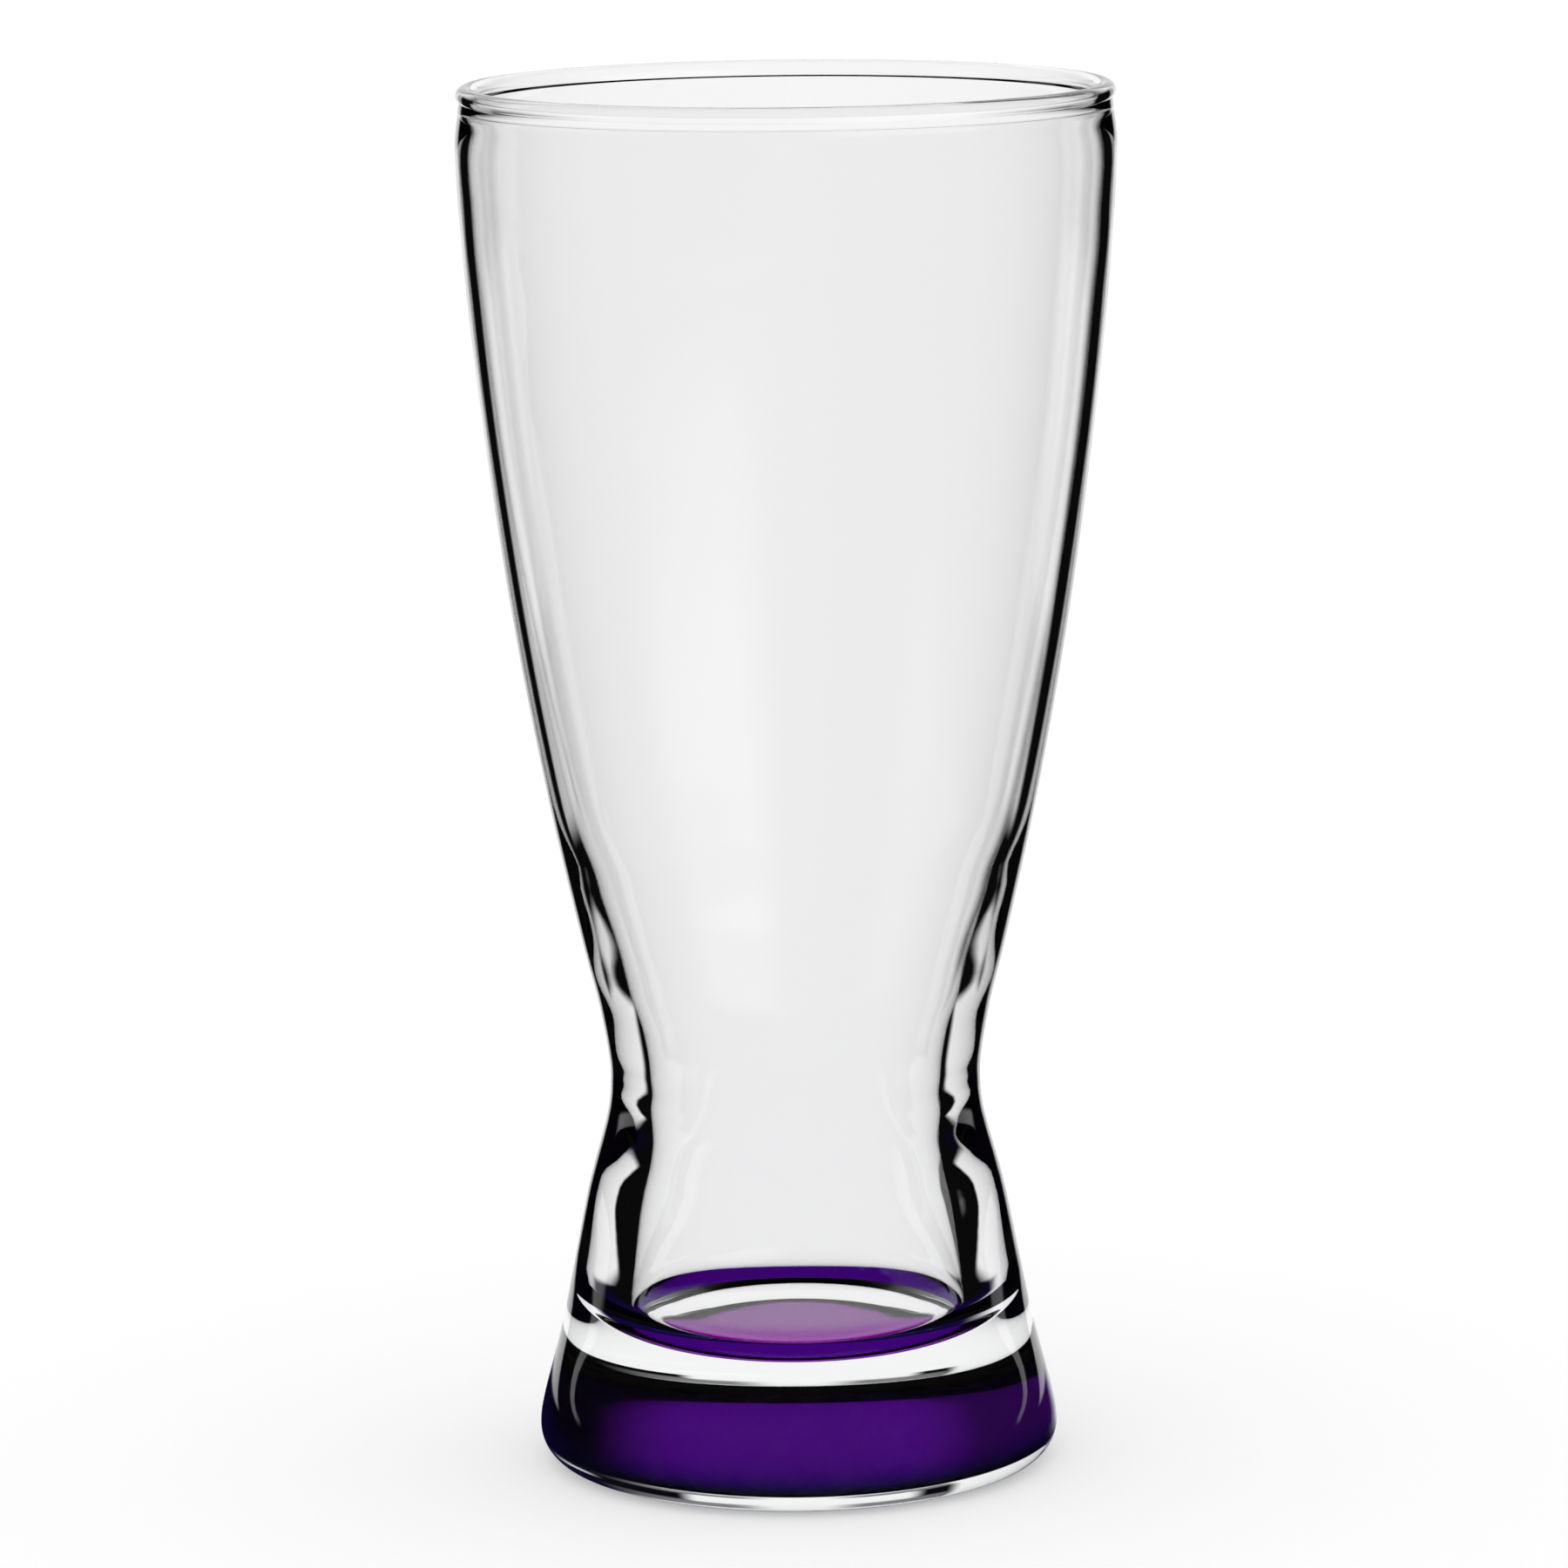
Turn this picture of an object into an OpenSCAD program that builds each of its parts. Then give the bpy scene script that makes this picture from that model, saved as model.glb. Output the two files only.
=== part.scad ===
// Hourglass pilsner glass with a tinted film under its foot.
// Millimetres, +Z up, origin at the centre of the face that the glass stands on.

/* [Outside] */
// Height from the table to the top of the rim
height = 160; // [150:1:175]
// Diameter of the foot at its widest
foot_d = 60.3; // [57:0.1:66]
// Diameter of the narrow waist, outside
waist_d = 42.9; // [41:0.1:46]
// Height of the waist above the table
waist_z = 44.6; // [42:0.1:48]
// Diameter of the body at its widest, just below the rim
body_d = 75.2; // [72:0.1:82]
// Distance from the top of the rim down to where the body is widest
body_drop = 8.6; // [7.5:0.1:12]
// Radius of the rounded heel round the foot
heel_r = 4.1; // [3:0.1:5]

/* [Rim] */
// Diameter of the glass bead round the rim, seen in section
bead_d = 2.05; // [1.6:0.05:2.4]
// Distance from the top of the rim down to the slight neck under the bead
neck_drop = 3.1; // [2.6:0.1:3.6]
// Depth of the neck, in from the body's widest radius
neck_in = 0.35; // [0.25:0.05:0.6]
// How far the bead stands out from the neck
bead_out = 0.22; // [0.1:0.02:0.3]
// Thickness of the wall at the neck
rim_wall_t = 1.1; // [0.9:0.05:1.4]

/* [Cup] */
// Thickness of the solid base, from the table to the floor of the cup
base_t = 14; // [12:0.1:17]
// Diameter of the cup where it is narrowest, near the waist
throat_d = 34; // [30:0.1:35]
// Height at which the cup is narrowest
throat_z = 41.5; // [38:0.1:43]
// Diameter of the cup where its bottom corner begins
cup_foot_d = 39; // [36:0.1:41]
// Height of the rounded bottom corner of the cup
corner_h = 6.2; // [5:0.1:9]
// Diameter of the flat part of the cup's floor
floor_d = 22; // [12:0.1:26]

/* [Underside] */
// Width of the flat ring that the glass stands on
ring_w = 1; // [0.6:0.1:2]
// Depth of the shallow recess inside the ring
recess_h = 0.35; // [0.3:0.05:0.6]

/* [Tint] */
// Thickness of the tinted film
tint_t = 0.15; // [0.1:0.01:0.25]
// Gap between the film's edge and the wall of the recess
tint_gap = 0.1; // [0.05:0.05:0.3]

/* [Hidden] */

// Facets round the axis
$fn = 120;

// Straight steps in each stretch of a curve
steps = 4;
// Straight steps in the heel
heel_steps = 8;
// Straight steps round the bead
bead_steps = 16;
// Straight steps in the bottom corner of the cup
corner_steps = 10;

// Share of the way between neighbours that a curve's handle reaches
handle_share = 1 / 6;
// Shares of the corner's height and width that its handles reach
corner_leave_share = 0.65;
corner_arrive_share = 0.45;

// Side of the foot, as shares of the rise and of the draw-in from heel to waist
foot_side_shares = [
    [0.09, 0.065],
    [0.28, 0.295],
    [0.47, 0.48],
    [0.665, 0.66],
    [0.76, 0.77],
    [0.86, 0.9],
    [0.93, 0.972]
];
// Side of the body, as shares of the rise and of the spread from waist to widest
body_side_shares = [
    [0.03, 0.01],
    [0.09, 0.08],
    [0.16, 0.195],
    [0.31, 0.412],
    [0.49, 0.628],
    [0.67, 0.797],
    [0.85, 0.931]
];
// Inside of the cup, as shares of the rise and of the spread from throat to neck
cup_side_shares = [
    [0.04, 0.008],
    [0.09, 0.07],
    [0.16, 0.195],
    [0.24, 0.343],
    [0.32, 0.475],
    [0.485, 0.675],
    [0.65, 0.83],
    [0.82, 0.947],
    [0.9, 0.985],
    [0.952, 1.003]
];
// Inside of the foot, as shares of the drop and of the spread from throat to corner
cup_foot_shares = [
    [0.28, 0.14],
    [0.6, 0.57]
];

// Radii and heights that follow from the sizes above
foot_r = foot_d / 2;
heel_centre_r = foot_r - heel_r;
recess_r = heel_centre_r - ring_w;
waist_r = waist_d / 2;
body_r = body_d / 2;
bead_r = bead_d / 2;
neck_r = body_r - neck_in;
bead_centre_r = neck_r + bead_out - bead_r;
bead_centre_z = height - bead_r;
body_z = height - body_drop;
neck_z = height - neck_drop;
throat_r = throat_d / 2;
cup_foot_r = cup_foot_d / 2;
cup_foot_z = base_t + corner_h;
floor_r = floor_d / 2;
tint_r = recess_r - tint_gap;

// Angles at which the bead meets the outer and the inner wall
bead_from_angle = -50;
bead_to_angle = 230;

// Points and curves, each point being [radius, height]
function between(a, b, t) = a + (b - a) * t;

function bezier(a, b, c, d, t) =
    let (ab = between(a, b, t), bc = between(b, c, t), cd = between(c, d, t))
    between(between(ab, bc, t), between(bc, cd, t), t);

// Smooth curve through the points p, from the second to the last but one
function through(p) = [
    for (i = [1 : len(p) - 3])
        for (s = [0 : steps - 1])
            let (
                leave = p[i] + (p[i + 1] - p[i - 1]) * handle_share,
                arrive = p[i + 1] - (p[i + 2] - p[i]) * handle_share
            )
            bezier(p[i], leave, arrive, p[i + 1], s / steps)
];

// Stations from one point to another, placed by a table of shares
function stations(from, to, shares) = [
    for (share = shares)
        [between(from[0], to[0], share[1]), between(from[1], to[1], share[0])]
];

// Points of an arc about a centre
function arc(centre, r, from_angle, to_angle, count) = [
    for (i = [0 : count])
        let (angle = between(from_angle, to_angle, i / count))
        centre + r * [cos(angle), sin(angle)]
];

// Mirror of a point above or below the height of another, to level a curve there
function level_guard(p, about) = [p[0], 2 * about[1] - p[1]];

heel_top = [foot_r, heel_r];
waist = [waist_r, waist_z];
widest = [body_r, body_z];
neck = [neck_r, neck_z];
cup_neck = [neck_r - rim_wall_t, neck_z];
throat = [throat_r, throat_z];
cup_foot = [cup_foot_r, cup_foot_z];

foot_side = stations(heel_top, waist, foot_side_shares);
body_side = stations(waist, widest, body_side_shares);
cup_side = stations(throat, cup_neck, cup_side_shares);
cup_foot_side = stations(throat, cup_foot, cup_foot_shares);

bead = arc(
    [bead_centre_r, bead_centre_z], bead_r, bead_from_angle, bead_to_angle, bead_steps
);

// Outer wall from the heel to the neck, with a guard point at each end
outer_wall = through(concat(
    [level_guard(foot_side[0], heel_top), heel_top],
    foot_side,
    [waist],
    body_side,
    [widest, neck, bead[0]]
));

// Inner wall from the neck down to the bottom corner, with a guard at each end
inner_wall = through(concat(
    [bead[bead_steps], cup_neck],
    [for (i = [len(cup_side) - 1 : -1 : 0]) cup_side[i]],
    [throat],
    cup_foot_side,
    [cup_foot, 2 * cup_foot - cup_foot_side[len(cup_foot_side) - 1]]
));

// Bottom corner, leaving along the wall and arriving level with the floor
wall_run = cup_foot - cup_foot_side[len(cup_foot_side) - 1];
corner_leave = cup_foot + wall_run * (corner_leave_share * corner_h / abs(wall_run[1]));
corner_arrive = [between(floor_r, cup_foot_r, corner_arrive_share), base_t];
corner = [
    for (i = [0 : corner_steps])
        bezier(cup_foot, corner_leave, corner_arrive, [floor_r, base_t], i / corner_steps)
];

// Clear glass in one piece: foot, wall, bead, cup, bearing ring and recess
module glass_body() {
    color("aliceblue", 0.35)
    rotate_extrude()
    polygon(concat(
        [[0, recess_h], [recess_r, recess_h], [recess_r, 0]],
        arc([heel_centre_r, heel_r], heel_r, -90, 0, heel_steps),
        [for (i = [1 : len(outer_wall) - 1]) outer_wall[i]],
        [neck],
        bead,
        inner_wall,
        corner,
        [[0, base_t]]
    ));
}

// Tinted film sprayed on the ceiling of the recess
module base_tint_coat() {
    color("indigo", 0.8)
    translate([0, 0, recess_h - tint_t])
    cylinder(r = tint_r, h = tint_t);
}

glass_body();
base_tint_coat();
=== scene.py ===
# Hourglass pilsner glass: clear glass with a translucent purple film under its foot.
# Lengths are in metres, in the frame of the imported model: +Z up, origin under the foot.

import math

import bpy
from mathutils import Matrix, Vector


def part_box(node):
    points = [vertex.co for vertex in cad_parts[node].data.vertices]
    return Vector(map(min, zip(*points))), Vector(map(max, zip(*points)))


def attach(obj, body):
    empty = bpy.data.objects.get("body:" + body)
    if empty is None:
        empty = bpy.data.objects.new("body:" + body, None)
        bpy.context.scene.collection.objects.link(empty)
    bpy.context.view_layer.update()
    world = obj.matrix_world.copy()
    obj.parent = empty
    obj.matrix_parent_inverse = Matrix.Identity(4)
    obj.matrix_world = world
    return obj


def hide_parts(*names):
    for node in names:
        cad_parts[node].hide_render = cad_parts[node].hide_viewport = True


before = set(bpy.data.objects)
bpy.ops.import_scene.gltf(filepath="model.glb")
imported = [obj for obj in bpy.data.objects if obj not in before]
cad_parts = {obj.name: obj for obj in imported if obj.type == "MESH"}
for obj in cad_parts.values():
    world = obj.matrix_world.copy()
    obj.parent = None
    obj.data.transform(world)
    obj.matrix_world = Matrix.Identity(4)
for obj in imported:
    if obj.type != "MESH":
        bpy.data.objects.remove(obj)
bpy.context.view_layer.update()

# One millimetre, and plain white
MM = 0.001
WHITE = (1, 1, 1, 1)

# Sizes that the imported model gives
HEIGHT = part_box("glass_body")[1].z
film_low, film_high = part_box("base_tint_coat")

# Sizes of the outside
FOOT_R = 30.15 * MM
HEEL_R = 4.1 * MM
WAIST_R = 21.45 * MM
WAIST_Z = 44.6 * MM
BODY_R = 37.6 * MM
BODY_Z = HEIGHT - 8.6 * MM

# Sizes of the rim, and the angles at which its bead meets the outer and inner walls
BEAD_R = 1.025 * MM
BEAD_OUT = 0.22 * MM
BEAD_ANGLES = (-50, 230)
NECK_R = BODY_R - 0.35 * MM
NECK_Z = HEIGHT - 3.1 * MM
RIM_WALL = 1.1 * MM

# Sizes of the cup
BASE_THICKNESS = 14.0 * MM
THROAT_R = 17.0 * MM
THROAT_Z = 41.5 * MM
CUP_FOOT_R = 19.5 * MM
CORNER_HEIGHT = 6.2 * MM
FLOOR_R = 11.0 * MM

# Sizes of the underside, where a clear skin of lacquer closes the film in
RING_WIDTH = 1.0 * MM
SKIN = 0.02 * MM
FILM_EDGE_R = 0.05 * MM

# Fineness of the turned meshes
SEGMENTS = 256
CURVE_STEPS = 6
HEEL_STEPS = 14
BEAD_STEPS = 24
CORNER_STEPS = 22
FLOOR_STEPS = 16
MERGE_DISTANCE = 0.0005 * MM
SHARP_ANGLE = math.radians(40)

# Shares of the way that a curve's handles reach
HANDLE_SHARE = 1 / 6
CORNER_LEAVE_SHARE = 0.65
CORNER_ARRIVE_SHARE = 0.45

# Side of the foot: shares of the rise and of the draw-in from the heel to the waist
FOOT_SIDE_SHARES = (
    (0.09, 0.065),
    (0.28, 0.295),
    (0.47, 0.48),
    (0.665, 0.66),
    (0.76, 0.77),
    (0.86, 0.9),
    (0.93, 0.972),
)
# Side of the body: shares of the rise and of the spread from the waist to the widest
BODY_SIDE_SHARES = (
    (0.03, 0.01),
    (0.09, 0.08),
    (0.16, 0.195),
    (0.31, 0.412),
    (0.49, 0.628),
    (0.67, 0.797),
    (0.85, 0.931),
)
# Inside of the cup: shares of the rise and of the spread from the throat to the neck
CUP_SIDE_SHARES = (
    (0.04, 0.008),
    (0.09, 0.07),
    (0.16, 0.195),
    (0.24, 0.343),
    (0.32, 0.475),
    (0.485, 0.675),
    (0.65, 0.83),
    (0.82, 0.947),
    (0.9, 0.985),
    (0.952, 1.003),
)
# Inside of the foot: shares of the drop and of the spread from the throat to the corner
CUP_FOOT_SHARES = (
    (0.28, 0.14),
    (0.6, 0.57),
)

# Clear glass, its faint green in depth and its slow waves
GLASS_IOR = 1.52
GLASS_TINT = (0.86, 0.95, 0.9, 1)
GLASS_TINT_DENSITY = 2.0
WAVE_SIZE = 14.0 * MM
WAVE_DEPTH = 0.004 * MM
WAVE_DETAIL = 1.0

# Purple film: how strongly its dye takes out red, green and blue, and the colour and
# cover of its droplets of pigment
FILM_ABSORBANCE = (0.35, 0.88, 0.2)
FILM_PIGMENT = (0.13, 0.01, 0.4, 1)
FILM_PIGMENT_PALE = (0.2, 0.03, 0.55, 1)
FILM_COVER_LEAST = 0.02
FILM_COVER_MOST = 0.06
FILM_ROUGHNESS = 0.35
SPRAY_SIZE = 1.2 * MM
SPRAY_DETAIL = 3.0

# Camera, set as the photograph was taken
PHOTO_PIXELS = 1800
FOCAL_PIXELS = 8444.7
SENSOR = 36.0
CAMERA_BACK = 835.9 * MM
CAMERA_HEIGHT = 222.4 * MM
CAMERA_DOWN = math.radians(9.717)
CAMERA_TURN = math.radians(0.067)
CAMERA_ROLL = math.radians(-0.6)
CAMERA_CLIP = 10.0 * MM

# Room for light to turn about inside the glass
BOUNCES = 32

# Studio: the plain level that matt surfaces meet, and the pale table
AMBIENT = 0.85
TABLE_SIZE = 20.0
TABLE_COLOUR = (0.8, 0.8, 0.8, 1)
TABLE_GLOW = 0.36

# What the glass shows of the room. From here on, two numbers say where a soft change
# starts and where it ends, and three say from where to where a thing reaches and how
# soft its sides are. Angles are in degrees.

# Level of all that isn't lit
ROOM_GLOW = 0.003
# Light under the foot, to the back and to the front for rays that only bend on their
# way there, and for rays that are mirrored first
UNDERFOOT_BACK = (0.42, 0.09, 0.45, 1)
UNDERFOOT_FRONT = (0.42, 0.0, 0.46, 1)
UNDERFOOT_MIRRORED = (0.08, 0.004, 0.25, 1)
UNDERFOOT_FORWARD = (12.0 * MM, -5.0 * MM)
UNDERFOOT_SOFT = 0.3 * MM
# Painted shadow: a dark ring on the table where the glass stands, in its back half
STAND_SHADOW_RING = (25.0 * MM, 26.3 * MM, 0.1 * MM)
STAND_SHADOW_BACK = (0.0, 25.0 * MM)
# Purple light that the film casts round the foot, for rays that are mirrored once
CAST_COLOUR = (0.003, 0.0, 0.04, 1)
CAST = (90.0 * MM, 45.0 * MM)
# Lit table round the foot, for rays that only bend
NEAR = (90.0 * MM, 45.0 * MM)
# Lit strip of table that runs back from the glass: its reach to the left and to the
# right as a width at the glass and a widening with distance, and its soft side as
# shares of that reach
STRIP_LEFT = (19.0 * MM, 0.344)
STRIP_RIGHT = (33.0 * MM, 0.32)
STRIP_SIDE = (1.15, 0.85)
STRIP_START = (0.0, 20.0 * MM)
# Wider lit patch of table close behind the glass
PATCH_SIDE = (92.0 * MM, 82.0 * MM)
PATCH_FRONT = (50.0 * MM, 60.0 * MM)
PATCH_BACK = (150.0 * MM, 130.0 * MM)
# Dim table to the left and to the right, seen through the glass
WING_LEFT = (-52, -33.5, 2)
WING_RIGHT = (40, 58, 3)
WING_LEVEL = 0.7
WING_START = (170.0 * MM, 230.0 * MM)
# Lit table further to the sides, which only the outside of the glass mirrors
SIDE_LEFT = (-66, -45, 3)
SIDE_RIGHT = (46, 68, 3)
SIDE_LEVEL = 0.8
SIDE_START = (330.0 * MM, 400.0 * MM)
SIDE_END = (1000.0 * MM, 750.0 * MM)
# Backdrop and the wide glow in front of it, by azimuth and by elevation
BACKDROP = (-19, 18, 2)
BACKDROP_TOP = (48, 38)
GLOW = (-30, 30, 14)
GLOW_HEIGHT = (7, 48, 3)
# Dark card above the table's far edge, open in the middle, that draws the rim
CARD = (6, 21, 2)
CARD_GAP = (-7, 7, 4)
CARD_DARKNESS = 0.75
# The same backdrop behind the glass from its other sides: azimuths from +Y towards +X,
# each with its level of glow
OTHER_SIDES = {-45: 0.3, -90: 0.5, 135: 1.0}


class Number:
    """A number that changes from place to place. Sums with it add Math nodes."""

    def __init__(self, tree, socket):
        self.tree = tree
        self.socket = socket

    def __add__(self, other):
        return self.tree.maths("ADD", self, other)

    def __sub__(self, other):
        return self.tree.maths("SUBTRACT", self, other)

    def __mul__(self, other):
        return self.tree.maths("MULTIPLY", self, other)

    def __truediv__(self, other):
        return self.tree.maths("DIVIDE", self, other)

    def __rsub__(self, other):
        return self.tree.maths("SUBTRACT", other, self)

    def __rtruediv__(self, other):
        return self.tree.maths("DIVIDE", other, self)

    __radd__ = __add__
    __rmul__ = __mul__


class Tree:
    """A node tree that is written as calls and sums."""

    def __init__(self, owner):
        owner.use_nodes = True
        self.nodes = owner.node_tree.nodes
        self.links = owner.node_tree.links
        self.nodes.clear()

    def fill(self, socket, value):
        """Links a socket to a value that changes from place to place, or sets it."""
        if isinstance(value, Number):
            value = value.socket
        if isinstance(value, bpy.types.NodeSocket):
            self.links.new(value, socket)
        else:
            socket.default_value = value

    def node(self, kind, settings=None, inputs=None):
        """Adds a node, sets it up and then fills its sockets."""
        made = self.nodes.new(kind)
        for name, value in (settings or {}).items():
            setattr(made, name, value)
        for name, value in (inputs or {}).items():
            self.fill(made.inputs[name], value)
        return made

    def maths(self, operation, *values):
        """A Math node of one, two or three values."""
        made = self.node("ShaderNodeMath", {"operation": operation}, dict(enumerate(values)))
        return Number(self, made.outputs[0])

    def most(self, first, second):
        """The greater of two numbers."""
        return self.maths("MAXIMUM", first, second)

    def step(self, value, low, high):
        """A soft step from 0 to 1 as the value goes from low to high."""
        made = self.node(
            "ShaderNodeMapRange",
            {"interpolation_type": "SMOOTHSTEP"},
            {"Value": value, "From Min": low, "From Max": high},
        )
        return Number(self, made.outputs["Result"])

    def inside(self, value, low, high, soft):
        """1 between two limits and 0 outside them, with soft sides."""
        rise = self.step(value, low - soft, low + soft)
        return rise * self.step(value, high + soft, high - soft)

    def noise(self, size, detail):
        """Noise from 0 to 1 over the piece, with lumps of about the given size."""
        place = self.node("ShaderNodeTexCoord").outputs["Object"]
        made = self.node(
            "ShaderNodeTexNoise",
            None,
            {"Vector": place, "Scale": 1 / size, "Detail": detail},
        )
        return Number(self, made.outputs["Fac"])

    def parts(self, vector):
        """The three numbers that a vector holds."""
        made = self.node("ShaderNodeSeparateXYZ", None, {"Vector": vector})
        return [Number(self, output) for output in made.outputs]

    def mixed(self, share, first, second):
        """A colour that goes from the first to the second as the share goes to 1."""
        made = self.node("ShaderNodeMix", {"data_type": "RGBA"}, {"Factor": share})
        for name, colour in (("A", first), ("B", second)):
            socket = [s for s in made.inputs if s.type == "RGBA" and s.name == name][0]
            self.fill(socket, colour)
        return [s for s in made.outputs if s.type == "RGBA"][0]

    def glow(self, strength, colour=WHITE):
        """A surface that only gives light."""
        return self.node("ShaderNodeEmission", None, {"Color": colour, "Strength": strength})

    def both(self, first, second):
        """Two surfaces added up."""
        inputs = {0: first.outputs[0], 1: second.outputs[0]}
        return self.node("ShaderNodeAddShader", None, inputs)

    def either(self, share, first, second):
        """A surface that goes from the first to the second as the share goes to 1."""
        inputs = {0: share, 1: first.outputs[0], 2: second.outputs[0]}
        return self.node("ShaderNodeMixShader", None, inputs)

    def ray(self, name):
        """What the Light Path node says of a ray under that name."""
        return Number(self, self.node("ShaderNodeLightPath").outputs[name])

    def bent(self):
        """1 for rays that glass has bent or mirrored."""
        return self.most(self.ray("Is Glossy Ray"), self.ray("Is Transmission Ray"))

    def mirrored_under(self, times):
        """1 for rays that were mirrored fewer times than that on their way."""
        return self.maths("LESS_THAN", self.ray("Glossy Depth"), times)

    def gone_in(self):
        """1 for rays that have gone into the glass."""
        return self.maths("GREATER_THAN", self.ray("Transmission Depth"), 0)

    def show(self, surface, volume=None):
        """Sends the finished shaders to the output."""
        output = "ShaderNodeOutputMaterial"
        made = self.node(output, None, {"Surface": surface.outputs[0]})
        if volume is not None:
            self.links.new(volume.outputs[0], made.inputs["Volume"])


def between(start, end, share):
    """The point that lies that share of the way from start to end."""
    return start + (end - start) * share


def bezier(a, b, c, d, share):
    """A point on the cubic curve from a to d with handles b and c."""
    ab, bc, cd = between(a, b, share), between(b, c, share), between(c, d, share)
    return between(between(ab, bc, share), between(bc, cd, share), share)


def through(points):
    """A smooth curve from the second point to the last but one, without its end."""
    curve = []
    for before, start, end, after in zip(points, points[1:], points[2:], points[3:]):
        leave = start + (end - before) * HANDLE_SHARE
        arrive = end - (after - start) * HANDLE_SHARE
        for step in range(CURVE_STEPS):
            curve.append(bezier(start, leave, arrive, end, step / CURVE_STEPS))
    return curve


def stations(start, end, shares):
    """Points from start to end, placed by shares of the rise and of the spread."""
    spread, rise = end - start
    return [start + Vector((spread * across, rise * up)) for up, across in shares]


def arc(centre, radius, from_degrees, to_degrees, steps):
    """Points along an arc."""
    points = []
    for step in range(steps + 1):
        angle = math.radians(between(from_degrees, to_degrees, step / steps))
        points.append(centre + Vector((math.cos(angle), math.sin(angle))) * radius)
    return points


def outer_wall(heel_top, bead_start):
    """The outside, from the heel in to the waist and out past the widest to the neck."""
    waist = Vector((WAIST_R, WAIST_Z))
    widest = Vector((BODY_R, BODY_Z))
    neck = Vector((NECK_R, NECK_Z))
    foot_side = stations(heel_top, waist, FOOT_SIDE_SHARES)
    body_side = stations(waist, widest, BODY_SIDE_SHARES)
    guard = Vector((foot_side[0].x, 2 * HEEL_R - foot_side[0].y))
    wall = through([guard, heel_top, *foot_side, waist, *body_side, widest, neck, bead_start])
    return [*wall[1:], neck]


def cup_wall(bead_end):
    """The inside, from the neck down past the throat to the corner and the floor."""
    neck = Vector((NECK_R - RIM_WALL, NECK_Z))
    throat = Vector((THROAT_R, THROAT_Z))
    corner_top = Vector((CUP_FOOT_R, BASE_THICKNESS + CORNER_HEIGHT))
    floor_edge = Vector((FLOOR_R, BASE_THICKNESS))
    cup_side = stations(throat, neck, CUP_SIDE_SHARES)
    foot_inside = stations(throat, corner_top, CUP_FOOT_SHARES)
    run = corner_top - foot_inside[-1]
    points = [bead_end, neck, *reversed(cup_side), throat, *foot_inside, corner_top]
    wall = through([*points, corner_top + run])

    leave = corner_top + run * (CORNER_LEAVE_SHARE * CORNER_HEIGHT / abs(run.y))
    arrive = Vector((between(FLOOR_R, CUP_FOOT_R, CORNER_ARRIVE_SHARE), BASE_THICKNESS))
    corner = [
        bezier(corner_top, leave, arrive, floor_edge, step / CORNER_STEPS)
        for step in range(CORNER_STEPS + 1)
    ]
    floor = [
        Vector((FLOOR_R * (1 - step / FLOOR_STEPS), BASE_THICKNESS))
        for step in range(1, FLOOR_STEPS + 1)
    ]
    return [*wall, *corner, *floor]


def glass_outline():
    """Half the glass's section as radius and height, from the axis under the foot
    out round the heel, up the outside, over the bead and down the cup to the axis."""
    recess_r = FOOT_R - HEEL_R - RING_WIDTH
    ceiling = film_low.z - SKIN
    under = [Vector((0, ceiling)), Vector((recess_r, ceiling)), Vector((recess_r, 0))]
    heel_centre = Vector((FOOT_R - HEEL_R, HEEL_R))
    heel = arc(heel_centre, HEEL_R, -90, 0, HEEL_STEPS)
    bead_centre = Vector((NECK_R + BEAD_OUT - BEAD_R, HEIGHT - BEAD_R))
    bead = arc(bead_centre, BEAD_R, *BEAD_ANGLES, BEAD_STEPS)
    return [*under, *heel, *outer_wall(heel[-1], bead[0]), *bead, *cup_wall(bead[-1])]


def film_outline():
    """Half the film's section, from the axis underneath out round its edge and back."""
    edge_r = film_high.x - FILM_EDGE_R
    low = [Vector((radius, film_low.z)) for radius in (0, edge_r / 2, edge_r)]
    high = [Vector((radius, film_high.z)) for radius in (edge_r, edge_r / 2, 0)]
    return [*low, Vector((film_high.x, (film_low.z + film_high.z) / 2)), *high]


def turned_piece(name, outline):
    """Draws an outline point by point and spins it round the axis into a closed piece."""
    bpy.ops.object.select_all(action="DESELECT")
    bpy.ops.mesh.primitive_plane_add(size=MM, location=(0, 0, 0))
    piece = bpy.context.object
    piece.name = name
    piece.data.name = name
    bpy.ops.object.mode_set(mode="EDIT")
    bpy.ops.mesh.select_all(action="SELECT")
    bpy.ops.mesh.merge(type="CENTER")
    start = outline[0]
    bpy.ops.transform.translate(value=(start.x, 0, start.y))
    for here, there in zip(outline, outline[1:]):
        move = there - here
        bpy.ops.mesh.extrude_vertices_move(
            TRANSFORM_OT_translate={"value": (move.x, 0, move.y)}
        )
    bpy.ops.mesh.select_all(action="SELECT")
    bpy.ops.mesh.spin(steps=SEGMENTS, angle=math.tau, center=(0, 0, 0), axis=(0, 0, 1))
    bpy.ops.mesh.select_all(action="SELECT")
    bpy.ops.mesh.remove_doubles(threshold=MERGE_DISTANCE)
    bpy.ops.mesh.normals_make_consistent(inside=False)
    bpy.ops.object.mode_set(mode="OBJECT")
    bpy.ops.object.shade_smooth_by_angle(angle=SHARP_ANGLE)
    return piece


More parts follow.
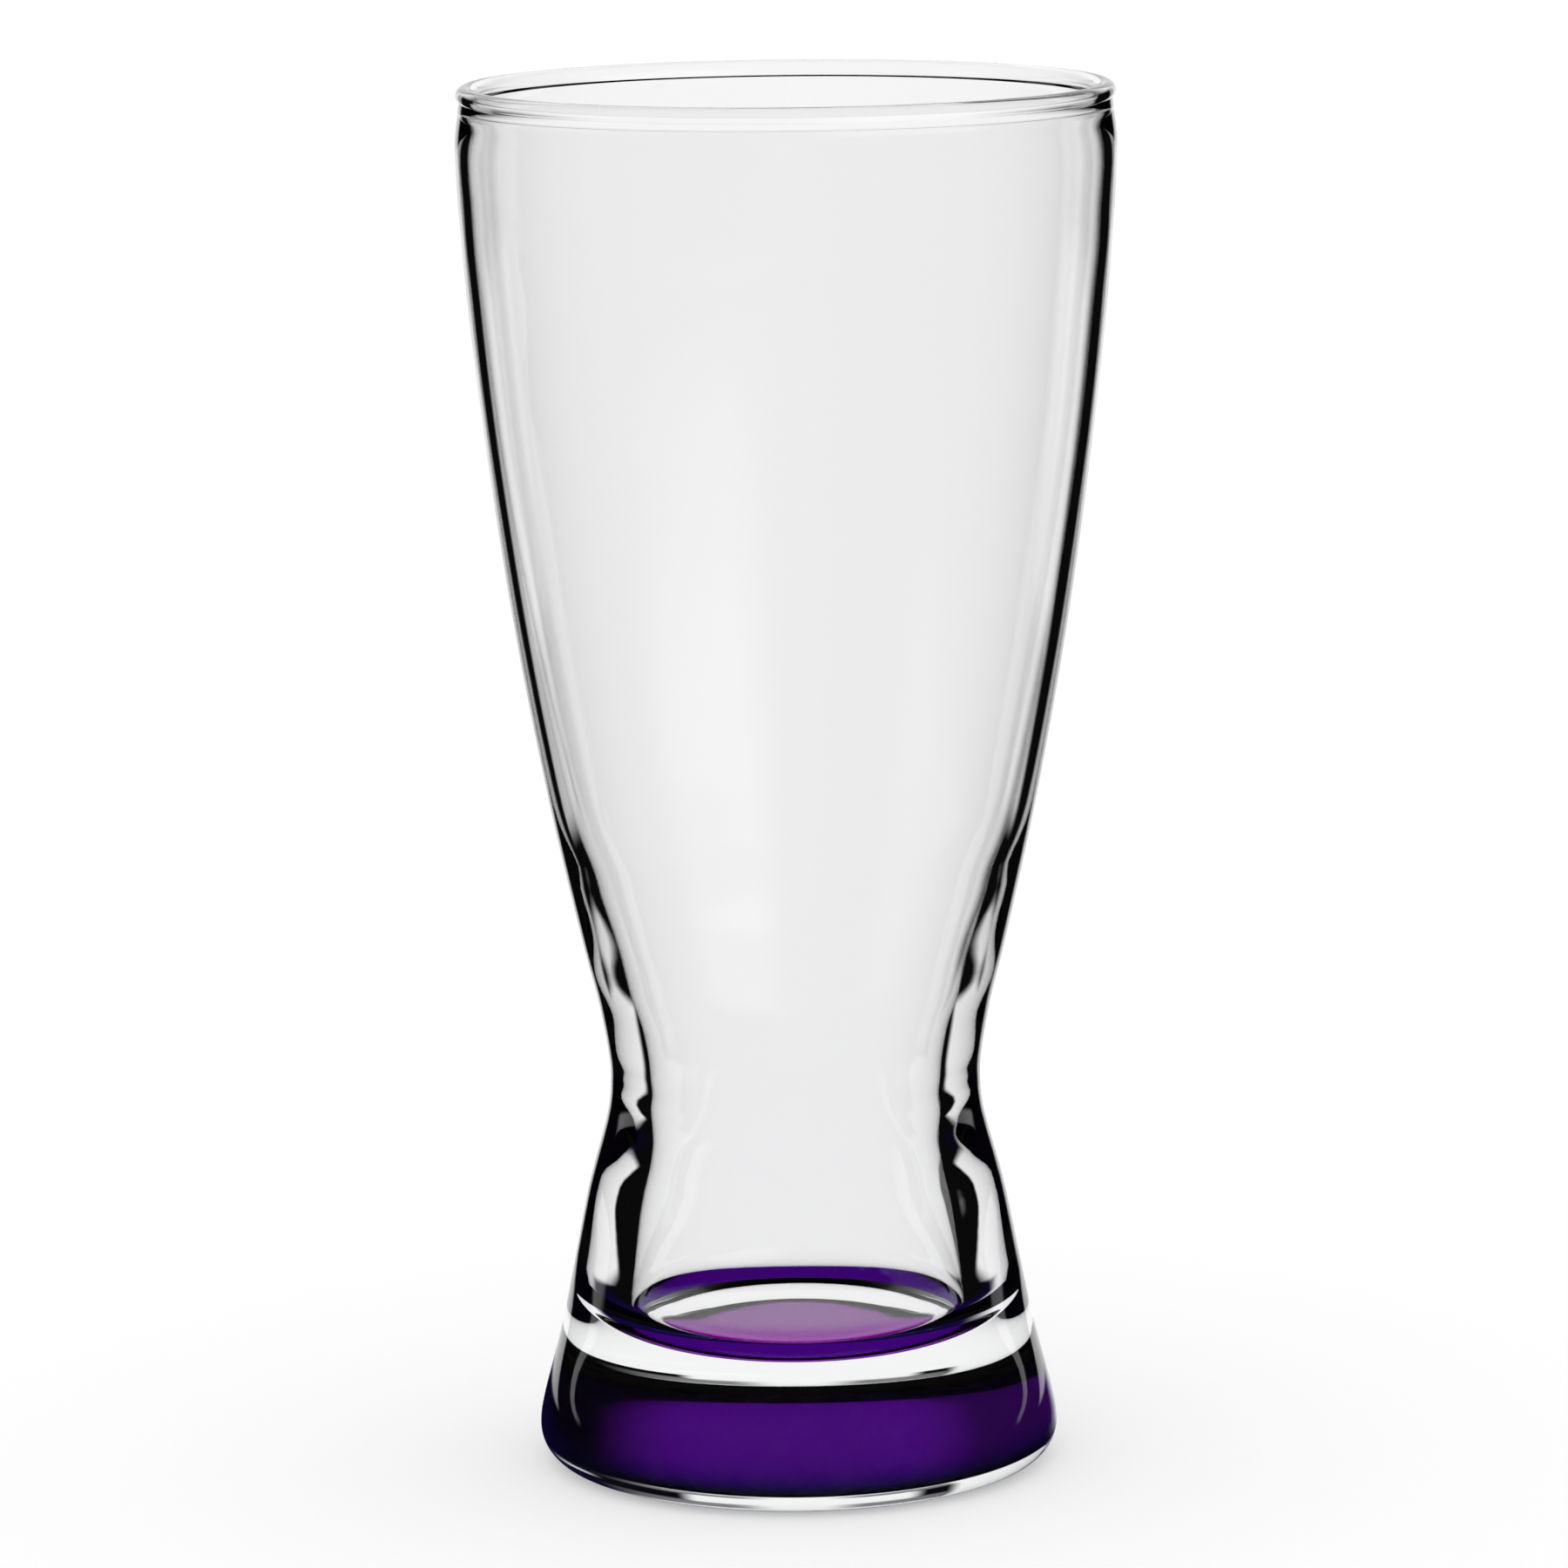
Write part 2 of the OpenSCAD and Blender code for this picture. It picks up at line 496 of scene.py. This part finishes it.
def clear_glass_material():
    """Colourless soda-lime glass, faintly green in depth, with the slow waves that
    hot glass keeps when it cools."""
    material = bpy.data.materials.new("clear_soda_lime_glass")
    tree = Tree(material)
    height = tree.noise(WAVE_SIZE, WAVE_DETAIL)
    wave = tree.node(
        "ShaderNodeBump",
        None,
        {"Height": height, "Distance": WAVE_DEPTH, "Strength": 1.0},
    )
    glass = tree.node(
        "ShaderNodeBsdfPrincipled",
        None,
        {
            "Base Color": WHITE,
            "Roughness": 0.0,
            "IOR": GLASS_IOR,
            "Transmission Weight": 1.0,
            "Normal": wave.outputs["Normal"],
        },
    )
    depth = tree.node(
        "ShaderNodeVolumeAbsorption",
        None,
        {"Color": GLASS_TINT, "Density": GLASS_TINT_DENSITY},
    )
    tree.show(glass, depth)
    return material


def purple_film_material():
    """Sprayed purple lacquer: dye that light passes through, and a little pigment
    that lies unevenly in fine droplets."""
    material = bpy.data.materials.new("purple_lacquer_film")
    tree = Tree(material)
    droplets = tree.noise(SPRAY_SIZE, SPRAY_DETAIL)
    lacquer = tree.node(
        "ShaderNodeBsdfPrincipled",
        None,
        {
            "Base Color": tree.mixed(droplets, FILM_PIGMENT, FILM_PIGMENT_PALE),
            "Roughness": FILM_ROUGHNESS,
            "IOR": GLASS_IOR,
            "Alpha": FILM_COVER_LEAST + droplets * (FILM_COVER_MOST - FILM_COVER_LEAST),
        },
    )
    strongest = max(FILM_ABSORBANCE)
    thickness = film_high.z - film_low.z
    dye = tree.node(
        "ShaderNodeVolumeAbsorption",
        None,
        {
            "Color": (*(1 - value / strongest for value in FILM_ABSORBANCE), 1),
            "Density": strongest / thickness,
        },
    )
    tree.show(lacquer, dye)
    return material


def lit_strip(tree, across, along):
    """1 on the lit strip and patch of table that lie back from the glass."""
    away = tree.most(along, 0)
    share = tree.most(
        across / (STRIP_RIGHT[0] + away * STRIP_RIGHT[1]),
        across / (STRIP_LEFT[0] + away * STRIP_LEFT[1]) * -1,
    )
    strip = tree.step(share, *STRIP_SIDE) * tree.step(along, *STRIP_START)
    reach = tree.maths("SQRT", across * across + along * along)
    patch = tree.step(tree.maths("ABSOLUTE", across), *PATCH_SIDE)
    patch = patch * tree.step(along, *PATCH_FRONT) * tree.step(reach, *PATCH_BACK)
    return tree.most(strip, patch)


def lit_sides(tree, azimuth, distance):
    """The dim table seen through the glass, and the table that its outside mirrors."""
    wings = tree.inside(azimuth, *WING_LEFT) + tree.inside(azimuth, *WING_RIGHT)
    wings = wings * WING_LEVEL * tree.step(distance, *WING_START)
    sides = tree.inside(azimuth, *SIDE_LEFT) + tree.inside(azimuth, *SIDE_RIGHT)
    sides = sides * tree.step(distance, *SIDE_START) * tree.step(distance, *SIDE_END)
    gone_in = tree.gone_in()
    return tree.most(wings * gone_in, sides * (1 - gone_in) * SIDE_LEVEL)


def lit_table(tree, x, y, distance):
    """How brightly bent and mirrored rays meet the table round the foot."""
    azimuth = tree.maths("ARCTAN2", x, y) * math.degrees(1)
    straight = tree.mirrored_under(1)
    near = tree.step(distance, *NEAR) * straight
    lit = tree.most(lit_strip(tree, x, y), near)
    lit = tree.most(lit, lit_sides(tree, azimuth, distance)) * tree.mirrored_under(2)
    for side in OTHER_SIDES:
        sine, cosine = math.sin(math.radians(side)), math.cos(math.radians(side))
        across, along = x * cosine - y * sine, x * sine + y * cosine
        lit = tree.most(lit, lit_strip(tree, across, along) * straight)
    return ROOM_GLOW + lit * (1 - ROOM_GLOW)


def lit_room(tree, azimuth, elevation):
    """How brightly bent and mirrored rays meet the room above the table."""
    low = tree.step(elevation, *BACKDROP_TOP)
    high = tree.inside(elevation, *GLOW_HEIGHT)
    straight = tree.mirrored_under(1)
    once = (1 - straight) * tree.mirrored_under(2) * tree.gone_in()
    backdrop = tree.inside(azimuth, *BACKDROP) * low
    lit = tree.most(backdrop, tree.inside(azimuth, *GLOW) * high)
    card = tree.inside(elevation, *CARD) * (1 - tree.inside(azimuth, *CARD_GAP))
    lit = lit * (1 - card * straight * CARD_DARKNESS) * tree.mirrored_under(3)
    for side, level in OTHER_SIDES.items():
        turned = tree.maths("WRAP", azimuth - side, 180, -180)
        lit = tree.most(lit, tree.inside(turned, *BACKDROP) * low * straight)
        lit = tree.most(lit, tree.inside(turned, *GLOW) * high * level * once)
    return ROOM_GLOW + lit * (1 - ROOM_GLOW)


def light_the_studio():
    """White for the camera, a backdrop in a dark room for what the glass bends and
    mirrors, and a plain level for all else."""
    world = bpy.data.worlds.new("studio")
    bpy.context.scene.world = world
    tree = Tree(world)
    x, y, z = tree.parts(tree.node("ShaderNodeTexCoord").outputs["Generated"])
    azimuth = tree.maths("ARCTAN2", x, y) * math.degrees(1)
    elevation = tree.maths("ARCSINE", z) * math.degrees(1)
    bent = tree.bent()
    strength = bent * lit_room(tree, azimuth, elevation) + (1 - bent) * AMBIENT
    strength = tree.most(strength, tree.ray("Is Camera Ray"))
    sky = tree.node("ShaderNodeBackground", None, {"Color": WHITE, "Strength": strength})
    tree.node("ShaderNodeOutputWorld", None, {"Surface": sky.outputs[0]})


def pale_floor():
    """A pale table that keeps the shadow. Bent rays meet its lit strips, and under
    the foot the light that has come down through the film."""
    bpy.ops.object.select_all(action="DESELECT")
    bpy.ops.mesh.primitive_plane_add(size=TABLE_SIZE, location=(0, 0, 0))
    floor = bpy.context.object
    floor.name = "floor"
    material = bpy.data.materials.new("pale_floor")
    tree = Tree(material)
    matt = tree.node("ShaderNodeBsdfDiffuse", None, {"Color": TABLE_COLOUR})
    seen = tree.both(matt, tree.glow(tree.ray("Is Camera Ray") * TABLE_GLOW))

    place = tree.node("ShaderNodeTexCoord").outputs["Object"]
    x, y = tree.parts(place)[:2]
    length = tree.node("ShaderNodeVectorMath", {"operation": "LENGTH"}, {0: place})
    distance = Number(tree, length.outputs["Value"])
    straight = tree.mirrored_under(1)
    few = tree.mirrored_under(2)
    # Painted shadow where the glass stands, which darkens the table's painted light there
    stand_shadow = tree.inside(distance, *STAND_SHADOW_RING) * tree.step(y, *STAND_SHADOW_BACK)
    clear = 1 - stand_shadow

    cast = tree.step(distance, *CAST) * (1 - straight) * few
    table = tree.both(
        tree.glow(lit_table(tree, x, y, distance) * clear),
        tree.glow(cast * clear, CAST_COLOUR),
    )
    forward = tree.step(y, *UNDERFOOT_FORWARD)
    tinted = tree.mixed(forward, UNDERFOOT_BACK, UNDERFOOT_FRONT)
    tinted = tree.mixed(straight, UNDERFOOT_MIRRORED, tinted)
    under = tree.step(distance, film_high.x + UNDERFOOT_SOFT, film_high.x)
    met = tree.either(under, table, tree.glow(few * clear, tinted))
    tree.show(tree.either(tree.bent(), seen, met))
    floor.data.materials.append(material)


def place_camera():
    """The camera as the photograph was taken, above the rim and looking down."""
    lens = bpy.data.cameras.new("photo_camera")
    lens.sensor_width = SENSOR
    lens.lens = SENSOR * FOCAL_PIXELS / PHOTO_PIXELS
    lens.clip_start = CAMERA_CLIP
    camera = bpy.data.objects.new("photo_camera", lens)
    bpy.context.scene.collection.objects.link(camera)
    turn = Matrix.Rotation(CAMERA_TURN, 4, "Z")
    tilt = Matrix.Rotation(math.pi / 2 - CAMERA_DOWN, 4, "X")
    roll = Matrix.Rotation(CAMERA_ROLL, 4, "Z")
    place = Matrix.Translation((0, -CAMERA_BACK, CAMERA_HEIGHT))
    camera.matrix_world = place @ turn @ tilt @ roll
    bpy.context.scene.camera = camera


def plain_view():
    """The plain view transform, and enough bounces for thick glass."""
    scene = bpy.context.scene
    scene.view_settings.view_transform = "Standard"
    scene.cycles.max_bounces = BOUNCES
    scene.cycles.transmission_bounces = BOUNCES
    scene.cycles.glossy_bounces = BOUNCES
    scene.cycles.transparent_max_bounces = BOUNCES


glass = turned_piece("pilsner_glass", glass_outline())
glass.data.materials.append(clear_glass_material())
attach(glass, "root")
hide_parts("glass_body")

film = turned_piece("purple_film", film_outline())
film.data.materials.append(purple_film_material())
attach(film, "root")
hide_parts("base_tint_coat")

pale_floor()
light_the_studio()
place_camera()
plain_view()
